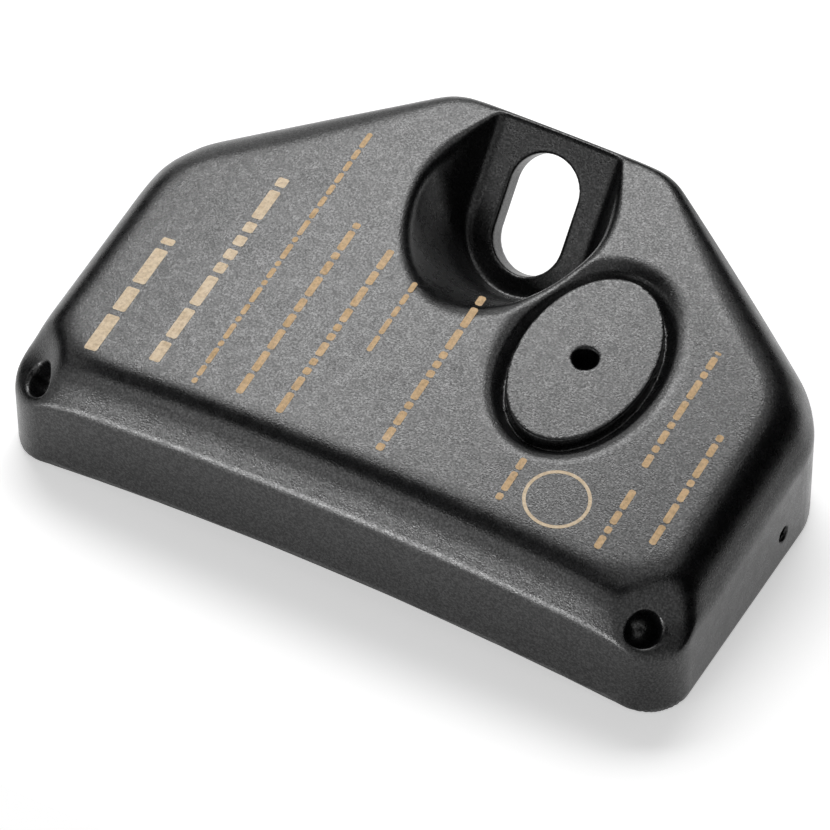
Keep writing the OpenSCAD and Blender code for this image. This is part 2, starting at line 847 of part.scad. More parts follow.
housing();
potting();
circuit_board();
sensor_package();
sensor_leads();
sensor_lid();
port_seal();
battery_can();
battery_gasket();
battery_cap();
positive_tab();
negative_tab();
coil_core();
coil_winding();
coil_terminals();
antenna_strip();
crystal_can();
crystal_base();
capacitor_bodies();
capacitor_ends();
resistor_bodies();
resistor_ends();
inductor_cores();
inductor_windings();
buffer_capacitor();
buffer_capacitor_ends();
transistor_body();
transistor_leads();
solder_joints();
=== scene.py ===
import json
import math

import bpy
import numpy as np
from mathutils import Matrix, Vector


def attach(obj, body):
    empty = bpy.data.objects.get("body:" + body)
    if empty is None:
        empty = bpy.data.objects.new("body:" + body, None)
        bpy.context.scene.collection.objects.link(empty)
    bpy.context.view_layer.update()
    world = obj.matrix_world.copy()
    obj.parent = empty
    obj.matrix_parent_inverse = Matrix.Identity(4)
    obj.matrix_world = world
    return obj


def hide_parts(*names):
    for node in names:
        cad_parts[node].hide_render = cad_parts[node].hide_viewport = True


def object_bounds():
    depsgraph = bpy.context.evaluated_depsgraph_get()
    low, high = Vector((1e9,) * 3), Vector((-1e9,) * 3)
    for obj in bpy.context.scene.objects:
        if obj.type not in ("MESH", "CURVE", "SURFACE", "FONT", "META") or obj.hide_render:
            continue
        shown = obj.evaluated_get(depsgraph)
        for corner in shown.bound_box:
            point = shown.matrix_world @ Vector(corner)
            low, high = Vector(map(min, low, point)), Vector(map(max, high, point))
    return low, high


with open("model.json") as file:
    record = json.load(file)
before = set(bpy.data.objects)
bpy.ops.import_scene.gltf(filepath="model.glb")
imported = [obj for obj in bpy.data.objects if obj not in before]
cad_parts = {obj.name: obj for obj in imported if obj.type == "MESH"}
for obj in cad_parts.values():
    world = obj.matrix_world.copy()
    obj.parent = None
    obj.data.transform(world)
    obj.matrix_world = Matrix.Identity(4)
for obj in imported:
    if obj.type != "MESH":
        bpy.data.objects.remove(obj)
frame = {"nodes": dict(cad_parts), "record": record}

CAD_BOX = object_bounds()

# Lengths of the housing are in mm, with y counted from the front wall, as in the CAD source.
MM = 0.001
LENGTH = round((CAD_BOX[1][0] - CAD_BOX[0][0]) / MM, 1)
WIDTH = round((CAD_BOX[1][1] - CAD_BOX[0][1]) / MM, 1)
HALF = LENGTH / 2
SIDE_END = 24.0
BACK_HALF = 17.6 / 2
RIM_R = 209.0
WALL = 1.4
ARCH_TOP = RIM_R - math.sqrt(RIM_R ** 2 - (HALF - WALL) ** 2)
ARCH_REACH = 40.0
FRONT_CORNER_R = 3.5

# Top and bevel
TOP_FRONT = 11.1
TOP_SLOPE = math.tan(math.radians(6.6))
WALL_TOP_FRONT = 4.9
WALL_RISE_SIDE = 2.4
WALL_RISE_BACK = 6.9
BEVEL_FULL = 0.74
SOFT_FINE = 0.38
SOFT_FRONT = 0.85
SOFT_FRONT_FADE = (3.0, 6.5)

# Scooped blind hole in each front corner
HOLE_X, HOLE_Y, HOLE_Z = 24.4, 1.6, 7.3
HOLE_R = 1.27
HOLE_DEPTH = 2.2
HOLE_TILT = 45
HOLE_TURN = 22
SCOOP_R = 3.2

# Screw recess: measures along the sloping floor, counted from its upper end at the back wall
FLOOR_TILT = math.radians(50)
FLOOR_LAND = 0.4
RECESS_HALF = 4.8
RECESS_SPREAD = 2.3
RECESS_SPREAD_H = 6.0
RECESS_STRAIGHT = 7.9
RECESS_STRAIGHT_TOP = 4.7
RECESS_END = 12.7
SLOT_MIDDLE = 6.45
SLOT_STRAIGHT = 1.85
SLOT_R = 2.7
SLOT_MID_DEPTH = 0.5
SLOT_HALF_CUT = 2.6

# Space for the valve's foot, under the slotted plate
PLATE = 2.0
FOOT_R = 2.0
FOOT_END = 12.4
FOOT_HALF = 6.5

# Oval island with the pressure port, and the moat round it
PORT_X, PORT_Y = 11.1, 17.4
PORT_R = 0.92
PORT_BOTTOM = 8.9
ISLAND_HALF = (4.85, 7.5)
MOAT_WIDTH = 1.2
MOAT_DEPTH = 1.2

# Pinhole in the right wall, and the hollow under the body, which the resin fills
PINHOLE_Y, PINHOLE_Z = 17.5, 2.9
PINHOLE_R = 0.6
PINHOLE_END = 24.5
HOLLOW_DEPTH = 1.4

# Widths of the roundings where two surfaces meet; recess and moat have wider ones further out
ROUND_RIM = 0.25
ROUND_BASE = 0.3
ROUND_SCOOP = 1.6
ROUND_HOLE = 0.3
ROUND_HOLE_END = 1.5
ROUND_RECESS_FOOT = 0.45
ROUND_RECESS, ROUND_RECESS_MORE, ROUND_RECESS_FADE = 0.25, 0.75, (0.5, 4.5)
ROUND_SLOT = 0.3
ROUND_FOOT = 0.3
ROUND_MOAT_END = 0.25
ROUND_ISLAND, ROUND_MOAT_MORE, ROUND_MOAT_FADE = 0.2, 0.4, (0.3, 1.1)
ROUND_PORT = 0.22
ROUND_PINHOLE = 0.2
ROUND_HOLLOW = 0.15


def sag(x):
    """Drop of the rim's arc at x from the middle."""
    return RIM_R - np.sqrt(RIM_R ** 2 - np.minimum(np.abs(x), ARCH_REACH) ** 2)


def top_z(x, y):
    """Height of the sloping top, which is arched as the rim is."""
    return TOP_FRONT + y * TOP_SLOPE - sag(x)


def arch(x):
    """Height of the arched base."""
    return ARCH_TOP - sag(np.minimum(np.abs(x), HALF - WALL))


def step01(start, end, x):
    """0 before start, 1 after end, and smooth between them."""
    t = np.clip((x - start) / (end - start), 0, 1)
    return t * t * (3 - 2 * t)


# Outlines of the wall and of the top's edge, seen from above
def crossing(p, d, q, e):
    """Where the line from p along d meets the line from q along e."""
    c = e[0] * (q - p)[1] - e[1] * (q - p)[0]
    return p + d * c / (e[0] * d[1] - e[1] * d[0])


def corners(front, side, slant_low, slant_high, back, cut):
    """Corners of an outline set in from the body's sides; cut is the front corner's length."""
    along = np.array([BACK_HALF - HALF, WIDTH - SIDE_END])
    along = along / np.linalg.norm(along)
    out = np.array([along[1], -along[0]])
    low = np.array([HALF, SIDE_END]) - out * slant_low
    high = np.array([BACK_HALF, WIDTH]) - out * slant_high
    foot, up = np.array([HALF - side, 0.0]), np.array([0.0, 1.0])
    a = np.array([HALF - cut, front])
    b = crossing(a, np.array([1.0, 1.0]), foot, up)
    c = crossing(foot, up, low, high - low)
    d = crossing(low, high - low, np.array([0, WIDTH - back]), np.array([1.0, 0.0]))
    mirror = np.array([-1.0, 1.0])
    return [a, b, c, d, d * mirror, c * mirror, b * mirror, a * mirror]


def ring(points, radii, bows, arc_steps=10, side_steps=20):
    """Closed outline with round corners, whose sides bow inwards."""
    n, arcs = len(points), []
    for i in range(n):
        a, b, c = points[i - 1], points[i], points[(i + 1) % n]
        u = (b - a) / np.linalg.norm(b - a)
        w = (c - b) / np.linalg.norm(c - b)
        turn = math.atan2(u[0] * w[1] - u[1] * w[0], u @ w)
        centre = b - u * radii[i] * math.tan(turn / 2) + radii[i] * np.array([-u[1], u[0]])
        angle = math.atan2(u[1], u[0]) - math.pi / 2 + turn * np.arange(arc_steps + 1) / arc_steps
        arcs.append(centre + radii[i] * np.stack([np.cos(angle), np.sin(angle)], 1))
    outline = []
    for i in range(n):
        p, q = arcs[i][-1], arcs[(i + 1) % n][0]
        e = (q - p) / np.linalg.norm(q - p)
        k = np.arange(1, side_steps)[:, None] / side_steps
        bow = np.array([-e[1], e[0]]) * bows[i] * np.sin(math.pi * k)
        outline += [arcs[i], p + (q - p) * k + bow]
    return np.concatenate(outline)


def both_sides(values):
    return [*values, *reversed(values)]


WALL_RING = ring(corners(0, 0, 0, 0, 0, cut=FRONT_CORNER_R * (2 - math.sqrt(2))),
                 radii=both_sides([3.3, 3.3, 6.5, 5]), bows=[0] * 8)
EDGE_RING = ring(corners(front=2.0, side=3.0, slant_low=4.6, slant_high=1.0, back=0.3, cut=6.5),
                 radii=both_sides([1.5, 1.5, 5.2, 5]), bows=[0, 0, 0.5, 0, 0.5, 0, 0, 0])


def to_ring(px, py, outline):
    """Signed distance to a closed outline, negative inside it, and the nearest point on it."""
    best = np.full(px.shape, 1e9)
    near_x, near_y = np.zeros(px.shape), np.zeros(px.shape)
    inside = np.zeros(px.shape, bool)
    for a, b in zip(outline, np.roll(outline, -1, 0)):
        d = b - a
        t = np.clip(((px - a[0]) * d[0] + (py - a[1]) * d[1]) / (d @ d), 0, 1)
        qx, qy = a[0] + t * d[0], a[1] + t * d[1]
        square = (px - qx) ** 2 + (py - qy) ** 2
        closer = square < best
        best = np.where(closer, square, best)
        near_x, near_y = np.where(closer, qx, near_x), np.where(closer, qy, near_y)
        if a[1] != b[1]:
            spans = (a[1] > py) != (b[1] > py)
            inside ^= spans & (px < (b[0] - a[0]) * (py - a[1]) / (b[1] - a[1]) + a[0])
    return np.where(inside, -1, 1) * np.sqrt(best), near_x, near_y


# Height of the outer surface, kept as a map from above
STEP = 0.15
GRID_X = np.arange(-29, 29.01, STEP)
GRID_Y = np.arange(-2, 37.01, STEP)


def wall_end(x, y):
    """Height at which the upright wall turns into the bevel."""
    s = np.minimum(y / SIDE_END, 1)
    t = np.maximum((y - SIDE_END) / (WIDTH - SIDE_END), 0)
    return WALL_TOP_FRONT + WALL_RISE_SIDE * s + WALL_RISE_BACK * t + arch(x) * (1 - t)


def soften(heights, sigma):
    """Gaussian blur of a map; sigma is in mm."""
    n = int(3 * sigma / STEP) + 1
    weights = np.exp(-0.5 * (np.arange(-n, n + 1) * STEP / sigma) ** 2)
    weights /= weights.sum()
    for axis in (0, 1):
        margins = [(n, n) if i == axis else (0, 0) for i in (0, 1)]
        padded = np.pad(heights, margins, mode="edge")
        lines = np.arange(heights.shape[axis])
        heights = sum(w * np.take(padded, lines + i, axis) for i, w in enumerate(weights))
    return heights


def height_map():
    """Distance to the wall's outline, and height of the outer surface."""
    px, py = np.meshgrid(GRID_X, GRID_Y, indexing="ij")
    from_wall, wall_x, wall_y = to_ring(px, py, WALL_RING)
    from_edge, edge_x, edge_y = to_ring(px, py, EDGE_RING)
    from_edge = np.maximum(from_edge, 0)
    inner = np.maximum(-from_wall, 0)
    s = np.clip(inner / (inner + from_edge + 1e-9), 0, 1)
    # the bevel is a quadratic curve, which starts at the wall and is pulled outwards
    low, high = wall_end(wall_x, wall_y), top_z(edge_x, edge_y)
    a = 0.5 * (1 - BEVEL_FULL)
    t = (-2 * a + np.sqrt(4 * a * a + 4 * BEVEL_FULL * s)) / (2 * BEVEL_FULL)
    pull = (low + high) / 2 * (1 - BEVEL_FULL) + high * BEVEL_FULL
    bevel = (1 - t) ** 2 * low + 2 * t * (1 - t) * pull + t * t * high
    heights = np.where(from_edge > 0, bevel, top_z(px, py))
    # outside the outline the height goes on level, so that softening keeps the edge
    fine, broad = soften(heights, SOFT_FINE), soften(heights, SOFT_FRONT)
    return from_wall, fine + (broad - fine) * (1 - step01(*SOFT_FRONT_FADE, py))


DISTANCE_MAP, HEIGHT_MAP = height_map()
SLOPE_X, SLOPE_Y = np.gradient(HEIGHT_MAP, STEP)
# turns a difference in height into a distance from the surface
UPRIGHT_MAP = 1 / np.sqrt(1 + SLOPE_X ** 2 + SLOPE_Y ** 2)
MAPS = (DISTANCE_MAP, HEIGHT_MAP, UPRIGHT_MAP)


def cubic(t):
    """Weights of the four neighbours in cubic interpolation."""
    return (((-0.5 * t + 1) * t - 0.5) * t, (1.5 * t - 2.5) * t * t + 1,
            ((-1.5 * t + 2) * t + 0.5) * t, (0.5 * t - 0.5) * t * t)


def lookup(maps, x, y):
    """Values of the maps at x and y, interpolated smoothly."""
    u, v = (x - GRID_X[0]) / STEP, (y - GRID_Y[0]) / STEP
    i = np.clip(np.floor(u).astype(int), 1, len(GRID_X) - 3)
    j = np.clip(np.floor(v).astype(int), 1, len(GRID_Y) - 3)
    weights_u, weights_v = cubic(np.clip(u - i, 0, 1)), cubic(np.clip(v - j, 0, 1))
    values = [0.0] * len(maps)
    for p in range(4):
        for q in range(4):
            weight = weights_u[p] * weights_v[q]
            for n, m in enumerate(maps):
                values[n] = values[n] + weight * m[i + p - 1, j + q - 1]
    return values


# The housing as a function of space, negative inside the plastic
def smax(a, b, width):
    """Maximum of two values, with a rounding of about this width where they meet."""
    h = np.maximum(width - np.abs(a - b), 0) / width
    return np.maximum(a, b) + h * h * width * 0.25


def oval(u, v, a, b):
    """About the distance to an ellipse, negative inside it."""
    q = np.sqrt((u / a) ** 2 + (v / b) ** 2) + 1e-6
    g = np.sqrt((u / a ** 2) ** 2 + (v / b ** 2) ** 2) + 1e-6
    return q * (q - 1) / g


def leaning(tilt, turn):
    """Direction tilted away from upright and turned towards the front, in degrees."""
    a, b = math.radians(tilt), math.radians(turn)
    return math.sin(a) * math.cos(b), -math.sin(a) * math.sin(b), math.cos(a)


HOLE_AXIS = leaning(HOLE_TILT, HOLE_TURN)
FLOOR_Y = WIDTH - FLOOR_LAND
FLOOR_Z = float(top_z(0.0, FLOOR_Y))


def below(x, z):
    """Positive below the arched base."""
    return RIM_R - np.hypot(x, z - ARCH_TOP + RIM_R)


def body(x, z, column):
    """The outer form, between wall, top and arched base."""
    distance, height, upright = column
    f = smax((z - height) * upright, distance, ROUND_RIM)
    return smax(f, np.maximum(below(x, z), -z), ROUND_BASE)


def cut_corner_holes(f, x, y, z):
    """A round scoop in each front corner, and the leaning blind hole in it."""
    rx, ry, rz = np.abs(x) - HOLE_X, y - HOLE_Y, z - HOLE_Z
    t = rx * HOLE_AXIS[0] + ry * HOLE_AXIS[1] + rz * HOLE_AXIS[2]
    rho = np.sqrt(np.maximum(rx * rx + ry * ry + rz * rz - t * t, 0) + 1e-9)
    f = smax(f, SCOOP_R - np.hypot(rho, t - SCOOP_R), ROUND_SCOOP)
    return smax(f, -smax(rho - HOLE_R, -t - HOLE_DEPTH, ROUND_HOLE_END), ROUND_HOLE)


def on_floor(y, z):
    """Distance down along the recess's floor, and height over it."""
    c, s = math.cos(FLOOR_TILT), math.sin(FLOOR_TILT)
    return -((y - FLOOR_Y) * c + (z - FLOOR_Z) * s), -(y - FLOOR_Y) * s + (z - FLOOR_Z) * c


def cut_recess(f, x, v, h):
    """The recess gets wider upwards, on a curve; its lower end is half an oval."""
    q = np.clip(1 - h / RECESS_SPREAD_H, 0, 1)
    rise = 1 - q * q
    half = RECESS_HALF + RECESS_SPREAD * rise
    straight = RECESS_STRAIGHT + (RECESS_STRAIGHT_TOP - RECESS_STRAIGHT) * rise
    end = oval(x, np.maximum(v - straight, 0), half, RECESS_END - straight)
    side = np.where(v > straight, end, np.abs(x) - half)
    side = side / np.sqrt(1 + (RECESS_SPREAD * q / (RECESS_SPREAD_H / 2)) ** 2)
    width = ROUND_RECESS + ROUND_RECESS_MORE * step01(*ROUND_RECESS_FADE, v)
    return smax(f, -smax(side, -h, ROUND_RECESS_FOOT), width)


def valve_foot(x, v, h, grow=0.0):
    """Space for the valve's foot, with round corners; grow is the wall round it."""
    r, end, half = FOOT_R + grow, FOOT_END + grow, FOOT_HALF + grow
    qx, qv = np.abs(x) - (half - r), v - (end - r)
    d = np.hypot(np.maximum(qx, 0), np.maximum(qv, 0)) + np.minimum(np.maximum(qx, qv), 0) - r
    return smax(d, h + PLATE - grow, ROUND_FOOT)


def cut_slot(f, x, v, h):
    slot = np.hypot(x, np.maximum(np.abs(v - SLOT_MIDDLE) - SLOT_STRAIGHT, 0)) - SLOT_R
    f = smax(f, -np.maximum(slot, np.abs(h + SLOT_MID_DEPTH) - SLOT_HALF_CUT), ROUND_SLOT)
    return smax(f, -valve_foot(x, v, h), ROUND_FOOT)


def cut_moat(f, x, y, z):
    """A ramp goes down to the island, whose wall stands steep."""
    u = oval(x - PORT_X, y - PORT_Y, *ISLAND_HALF)
    w = (z - top_z(x, y)) / math.hypot(1, TOP_SLOPE)
    ramp = MOAT_WIDTH * w + MOAT_DEPTH * (MOAT_WIDTH - u)
    ramp = -ramp / math.hypot(MOAT_WIDTH, MOAT_DEPTH)
    width = ROUND_ISLAND + ROUND_MOAT_MORE * step01(*ROUND_MOAT_FADE, u / MOAT_WIDTH)
    return smax(f, -smax(-u, ramp, ROUND_MOAT_END), width)


def cut_port(f, x, y, z):
    port = np.hypot(x - PORT_X, y - PORT_Y) - PORT_R
    return smax(f, -np.maximum(port, PORT_BOTTOM - z), ROUND_PORT)


def cut_pinhole(f, x, y, z):
    pinhole = np.hypot(y - PINHOLE_Y, z - PINHOLE_Z) - PINHOLE_R
    return smax(f, -np.maximum(pinhole, PINHOLE_END - x), ROUND_PINHOLE)


def cut_hollow(f, x, v, h, z, distance):
    """The hollow stops at the walls and round the space for the valve's foot."""
    hollow = np.maximum(distance + WALL, -HOLLOW_DEPTH - below(x, z))
    return smax(f, -np.maximum(hollow, -valve_foot(x, v, h, WALL)), ROUND_HOLLOW)


def housing(x, y, z, column=None):
    """Negative inside the plastic; column holds the maps' values where they are known."""
    column = lookup(MAPS, x, y) if column is None else column
    v, h = on_floor(y, z)
    f = body(x, z, column)
    f = cut_corner_holes(f, x, y, z)
    f = cut_recess(f, x, v, h)
    f = cut_slot(f, x, v, h)
    f = cut_moat(f, x, y, z)
    f = cut_port(f, x, y, z)
    f = cut_pinhole(f, x, y, z)
    return cut_hollow(f, x, v, h, z, column[0])


def slopes(x, y, z, e=0.05):
    """Gradient of the housing's function, which points out of the plastic."""
    return np.stack([housing(x + e, y, z) - housing(x - e, y, z),
                     housing(x, y + e, z) - housing(x, y - e, z),
                     housing(x, y, z + e) - housing(x, y, z - e)], 1) / (2 * e)


# Mesh of the housing: one point in each cell that the surface crosses
EDGE_PULL = 0.04
CROSSING_REACH, NORMAL_REACH = 0.03, 0.07
LEAST_SLOPE, LONGEST_MOVE = 0.2, 0.1
HIDDEN_NEAR, HIDDEN_INSET, HIDDEN_LEVEL = 0.2, 0.1, 0.8


def spaced(*spans):
    """Grid lines over spans that are each given by start, end and spacing."""
    lines = [spans[0][0]]
    for start, end, spacing in spans:
        n = max(1, round((end - start) / spacing))
        lines += list(start + (end - start) * np.arange(1, n + 1) / n)
    return np.array(lines)


def grid_lines():
    """Cells are finest round the island, and coarse where the surface is plain."""
    k = 1.0
    xs = spaced((-27.4, -21.5, 0.22 * k), (-21.5, -8.2, 0.44), (-8.2, 4.8, 0.23 * k),
                (4.8, 17.4, 0.17 * k), (17.4, 21.5, 0.34), (21.5, 27.4, 0.2 * k))
    ys = spaced((-0.4, 5.0, 0.2 * k), (5.0, 8.0, 0.3), (8.0, 26.4, 0.18 * k), (26.4, 35.4, 0.23 * k))
    zs = spaced((-0.4, 4.0, 0.4), (4.0, 10.4, 0.28), (10.4, 13.8, 0.18), (13.8, 15.4, 0.28))
    return xs, ys, zs


def sample(xs, ys, zs):
    """The housing's function at every corner of the grid."""
    x, y, z = xs[:, None, None], ys[None, :, None], zs[None, None, :]
    map_x, map_y = np.broadcast_arrays(x[:, :, 0], y[:, :, 0])
    return housing(x, y, z, [m[:, :, None] for m in lookup(MAPS, map_x, map_y)])


def ends(grid, axis):
    """Values at the lower and upper ends of the grid's edges along an axis."""
    lower, upper = [slice(None)] * 3, [slice(None)] * 3
    lower[axis], upper[axis] = slice(0, -1), slice(1, None)
    return grid[tuple(lower)], grid[tuple(upper)]


def cells_round(edges, axis):
    """The four cells round each edge, one after the other."""
    b, c = (axis + 1) % 3, (axis + 2) % 3
    for step_b, step_c in ((-1, -1), (0, -1), (0, 0), (-1, 0)):
        cells = edges.copy()
        cells[:, b] += step_b
        cells[:, c] += step_c
        yield cells


def number_cells(inside):
    """Cells that the surface crosses, and a grid that holds their numbers."""
    n = np.array(inside.shape) - 1
    count = np.zeros(n, np.int8)
    for i, j, k in np.ndindex(2, 2, 2):
        count += inside[i:i + n[0], j:j + n[1], k:k + n[2]]
    crossed = (count > 0) & (count < 8)
    cells = np.argwhere(crossed)
    index = np.full(crossed.shape, -1)
    index[crossed] = np.arange(len(cells))
    return cells, index


def places(lines, corner):
    """Coordinates of the grid's corners with these numbers."""
    return np.stack([lines[i][corner[:, i]] for i in range(3)], 1)


def surface_points(lines, values, cells, index):
    """Best meeting point of the tangent planes in each cell, so that edges come out straight."""
    n = len(cells)
    mean, count = np.zeros((n, 3)), np.zeros(n)
    planes, offsets = np.zeros((n, 3, 3)), np.zeros((n, 3))
    for axis in range(3):
        lower, upper = ends(values < 0, axis)
        edges = np.argwhere(lower != upper)
        far = edges.copy()
        far[:, axis] += 1
        f0, f1 = values[tuple(edges.T)], values[tuple(far.T)]
        p0, p1 = places(lines, edges), places(lines, far)
        p = p0 + (p1 - p0) * (f0 / (f0 - f1))[:, None]
        g = slopes(*p.T, e=CROSSING_REACH)
        g /= np.maximum(np.linalg.norm(g, axis=1), 1e-9)[:, None]
        offset = (g * p).sum(1)
        for cell in cells_round(edges, axis):
            ok = (cell >= 0).all(1) & (cell < index.shape).all(1)
            k = index[tuple(cell[ok].T)]
            np.add.at(mean, k, p[ok])
            np.add.at(count, k, 1)
            np.add.at(planes, k, g[ok][:, :, None] * g[ok][:, None, :])
            np.add.at(offsets, k, g[ok] * offset[ok][:, None])
    mean /= count[:, None]
    points = np.linalg.solve(planes + EDGE_PULL * np.eye(3), (offsets + EDGE_PULL * mean)[:, :, None])
    return points[:, :, 0]


def settle(points, low, high):
    """Moves the points onto the surface, within their cells."""
    points = np.clip(points, low, high)
    for _ in range(2):
        f, g = housing(*points.T), slopes(*points.T)
        move = np.clip(f / np.maximum((g * g).sum(1), LEAST_SLOPE), -LONGEST_MOVE, LONGEST_MOVE)
        points = np.clip(points - g * move[:, None], low, high)
    return points


def surface_faces(inside, index):
    """One face for each edge that the surface crosses, turned to face outwards."""
    faces = []
    for axis in range(3):
        b, c = (axis + 1) % 3, (axis + 2) % 3
        lower, upper = ends(inside, axis)
        edges = np.argwhere(lower != upper)
        edges = edges[(edges[:, b] > 0) & (edges[:, c] > 0)
                      & (edges[:, b] < index.shape[b]) & (edges[:, c] < index.shape[c])]
        face = np.stack([index[tuple(cell.T)] for cell in cells_round(edges, axis)], 1)
        turned = ~lower[tuple(edges.T)]
        face[turned] = face[turned][:, ::-1]
        faces.append(face)
    return np.concatenate(faces)


def hidden(points, normals, faces):
    """Faces of the hollow's roof, which lies on the resin and is never seen."""
    middle = points[faces].mean(1)
    distance = lookup((DISTANCE_MAP,), middle[:, 0], middle[:, 1])[0]
    on_roof = np.abs(below(middle[:, 0], middle[:, 2]) + HOLLOW_DEPTH) < HIDDEN_NEAR
    level = np.abs(normals[faces].mean(1)[:, 2]) > HIDDEN_LEVEL
    return on_roof & (distance < -WALL - HIDDEN_INSET) & level


def housing_mesh():
    lines = grid_lines()
    values = sample(*lines)
    cells, index = number_cells(values < 0)
    points = surface_points(lines, values, cells, index)
    points = settle(points, places(lines, cells), places(lines, cells + 1))
    normals = slopes(*points.T, e=NORMAL_REACH)
    normals = normals / np.maximum(np.linalg.norm(normals, axis=1), 1e-9)[:, None]
    faces = surface_faces(values < 0, index)
    faces = faces[~hidden(points, normals, faces)]
    used = np.unique(faces)
    number = np.full(len(points), -1)
    number[used] = np.arange(len(used))
    return points[used], number[faces], normals[used]


def mesh_object(name, points, faces, normals=None):
    """Smooth object from points in mm, in the scene's frame."""
    mesh = bpy.data.meshes.new(name)
    points = (np.array(points, float) - [0, WIDTH / 2, 0]) * MM
    mesh.from_pydata(points.tolist(), [], np.array(faces).tolist())
    mesh.polygons.foreach_set("use_smooth", [True] * len(mesh.polygons))
    if normals is not None:
        mesh.normals_split_custom_set_from_vertices(normals.tolist())
    mesh.update()
    ob = bpy.data.objects.new(name, mesh)
    bpy.context.scene.collection.objects.link(ob)
    return ob


# Materials
class Finish:
    """A material of procedural nodes."""

    def __init__(self, name):
        self.material = bpy.data.materials.new(name)
        self.material.use_nodes = True
        self.tree = self.material.node_tree
        self.shader = self.tree.nodes["Principled BSDF"]
        self.place = self.tree.nodes.new("ShaderNodeTexCoord").outputs["Object"]

    def noise(self, scale, detail=2.0, roughness=0.5):
        node = self.tree.nodes.new("ShaderNodeTexNoise")
        node.inputs["Scale"].default_value = scale
        node.inputs["Detail"].default_value = detail
        node.inputs["Roughness"].default_value = roughness
        self.tree.links.new(self.place, node.inputs["Vector"])
        return node.outputs["Fac"]

    def ramp(self, factor, stops):
        node = self.tree.nodes.new("ShaderNodeValToRGB")
        elements = node.color_ramp.elements
        while len(elements) < len(stops):
            elements.new(0.5)
        for i, (position, colour) in enumerate(stops):
            elements[i].position = position
            elements[i].color = (*colour, 1) if isinstance(colour, tuple) else (colour, colour, colour, 1)
        self.tree.links.new(factor, node.inputs["Fac"])
        return node.outputs["Color"]

    def bump(self, *layers):
        """Layers of height, strength and depth in metres, each on top of the one before."""
        last = None
        for height, strength, depth in layers:
            node = self.tree.nodes.new("ShaderNodeBump")
            node.inputs["Strength"].default_value = strength
            node.inputs["Distance"].default_value = depth
            self.tree.links.new(height, node.inputs["Height"])
            if last:
                self.tree.links.new(last, node.inputs["Normal"])
            last = node.outputs["Normal"]
        self.tree.links.new(last, self.shader.inputs["Normal"])

    def put(self, socket, value):
        if isinstance(value, bpy.types.NodeSocket):
            self.tree.links.new(value, self.shader.inputs[socket])
        else:
            self.shader.inputs[socket].default_value = value


def housing_material():
    """Near-black moulded plastic, with fine glints in its grain."""
    f = Finish("housing_plastic")
    f.put("Base Color", f.ramp(f.noise(1800, 3, 0.6), [(0.3, (0.0022, 0.0023, 0.0025)),
                                                      (0.6, (0.0035, 0.0036, 0.0039)),
                                                      (0.8, (0.0080, 0.0082, 0.0088))]))
    f.put("Roughness", f.ramp(f.noise(1100, 3), [(0.3, 0.24), (0.7, 0.32)]))
    f.put("Specular IOR Level", f.ramp(f.noise(7000, 1, 0.5), [(0.34, 0.32), (0.5, 0.47), (0.68, 0.74)]))
    f.bump((f.noise(350, 2), 0.08, 0.00005), (f.noise(9000, 1, 0.5), 0.5, 0.00003))
    return f.material


def inner_material(name, dark, light, rough, metal=0.0, grain=2500, bump=0.2):
    f = Finish(name)
    f.put("Base Color", f.ramp(f.noise(grain, 3), [(0.3, dark), (0.7, light)]))
    spread = [(0.3, rough * 0.8), (0.7, min(1, rough * 1.2))]
    f.put("Roughness", f.ramp(f.noise(grain * 0.4, 2), spread))
    f.put("Metallic", metal)
    f.bump((f.noise(grain * 1.3, 2), bump, 0.00002))
    return f.material


def ink(name, dark, light):
    f = Finish(name)
    f.put("Base Color", f.ramp(f.noise(3000, 3, 0.7), [(0.3, dark), (0.6, light)]))
    f.put("Roughness", f.ramp(f.noise(1500), [(0.3, 0.5), (0.7, 0.75)]))
    f.bump((f.noise(3600, 2), 0.4, 0.00003))
    return f.material


# Dark and light tone, roughness, then metal, grain and bump where they aren't the usual ones
INNER_LOOKS = {
    "resin": ((0.006, 0.006, 0.007), (0.014, 0.014, 0.015), 0.22, 0, 300, 0.15),
    "board": ((0.015, 0.09, 0.035), (0.03, 0.15, 0.06), 0.35),
    "moulding": ((0.018, 0.018, 0.019), (0.03, 0.03, 0.031), 0.5, 0, 5000),
    "tin": ((0.6, 0.6, 0.57), (0.78, 0.78, 0.75), 0.35, 1.0),
    "steel": ((0.5, 0.5, 0.51), (0.66, 0.66, 0.68), 0.28, 1.0, 4000),
    "seal": ((0.25, 0.05, 0.03), (0.36, 0.09, 0.06), 0.6),
    "gasket": ((0.6, 0.58, 0.5), (0.75, 0.72, 0.64), 0.5),
    "tab_metal": ((0.55, 0.54, 0.5), (0.7, 0.68, 0.63), 0.3, 1.0),
    "ferrite": ((0.03, 0.028, 0.026), (0.06, 0.055, 0.05), 0.6),
    "copper": ((0.5, 0.18, 0.08), (0.72, 0.3, 0.14), 0.3, 1.0, 6000),
    "gold": ((0.72, 0.5, 0.18), (0.85, 0.62, 0.26), 0.28, 1.0),
    "ceramic": ((0.6, 0.56, 0.48), (0.72, 0.68, 0.6), 0.55),
    "capacitor_ceramic": ((0.4, 0.27, 0.14), (0.52, 0.36, 0.2), 0.45),
    "capacitor_case": ((0.62, 0.4, 0.08), (0.74, 0.5, 0.14), 0.45),
    "solder": ((0.55, 0.56, 0.57), (0.7, 0.7, 0.71), 0.25, 1.0),
}


def dress_inner_parts():
    materials = {slot: inner_material(slot, *look) for slot, look in INNER_LOOKS.items()}
    slots = {part["node"]: part["material_slot"] for part in frame["record"]["subparts"]}
    for name, ob in frame["nodes"].items():
        material = materials.get(slots[name])
        if material and ob.material_slots:
            for slot in ob.material_slots:
                slot.material = material
        elif material:
            ob.data.materials.append(material)


dress_inner_parts()

shell = mesh_object("housing_shell", *housing_mesh())
shell.data.materials.append(housing_material())
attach(shell, "root")
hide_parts("housing")


